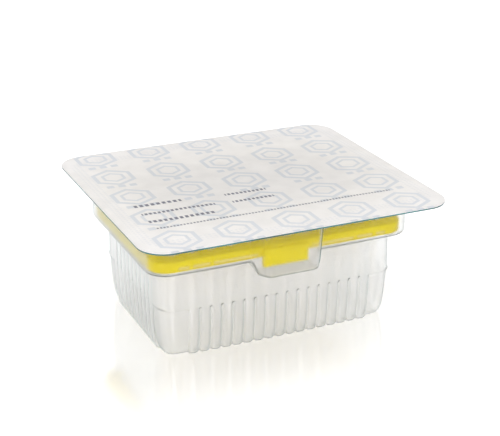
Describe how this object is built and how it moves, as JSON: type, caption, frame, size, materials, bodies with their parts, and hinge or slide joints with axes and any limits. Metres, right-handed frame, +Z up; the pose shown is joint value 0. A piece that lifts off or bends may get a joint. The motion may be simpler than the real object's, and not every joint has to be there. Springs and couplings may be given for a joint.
{
  "type": "pipette tip box",
  "caption": "Sealed refill blister of pipette tips: ribbed clear formed tray with a wide flange and latch bulges, a slotted yellow tip plate full of filter tips, and a sealed paper lid.",
  "frame": {"origin": "on the floor plane under the middle of the tray", "axes": "+Z up through the lid, +X along the long side of the flange, -Y towards the front long side"},
  "size_m": [0.1432, 0.1276, 0.0627],
  "materials": {
    "clear_sheet": "clear thermoformed polyester sheet, glossy",
    "lid_paper": "white coated medical paper, matt, heat sealed",
    "plate_plastic": "yellow injection-moulded polypropylene, satin gloss",
    "tip_plastic": "natural translucent polypropylene, smooth"
  },
  "bodies": {
    "root": {"blister_tray": "clear_sheet", "peel_lid": "lid_paper", "tip_plate": "plate_plastic", "tip_A1": "tip_plastic", "tip_A2": "tip_plastic", "tip_A3": "tip_plastic", "tip_A4": "tip_plastic", "tip_A5": "tip_plastic", "tip_A6": "tip_plastic", "tip_A7": "tip_plastic", "tip_A8": "tip_plastic", "tip_A9": "tip_plastic", "tip_A10": "tip_plastic", "tip_A11": "tip_plastic", "tip_A12": "tip_plastic", "tip_B1": "tip_plastic", "tip_B12": "tip_plastic", "tip_C1": "tip_plastic", "tip_C12": "tip_plastic", "tip_D1": "tip_plastic", "tip_D12": "tip_plastic", "tip_E1": "tip_plastic", "tip_E12": "tip_plastic", "tip_F1": "tip_plastic", "tip_F12": "tip_plastic", "tip_G1": "tip_plastic", "tip_G12": "tip_plastic", "tip_H1": "tip_plastic", "tip_H2": "tip_plastic", "tip_H3": "tip_plastic", "tip_H4": "tip_plastic", "tip_H5": "tip_plastic", "tip_H6": "tip_plastic", "tip_H7": "tip_plastic", "tip_H8": "tip_plastic", "tip_H9": "tip_plastic", "tip_H10": "tip_plastic", "tip_H11": "tip_plastic", "tip_H12": "tip_plastic"}
  },
  "joints": []
}
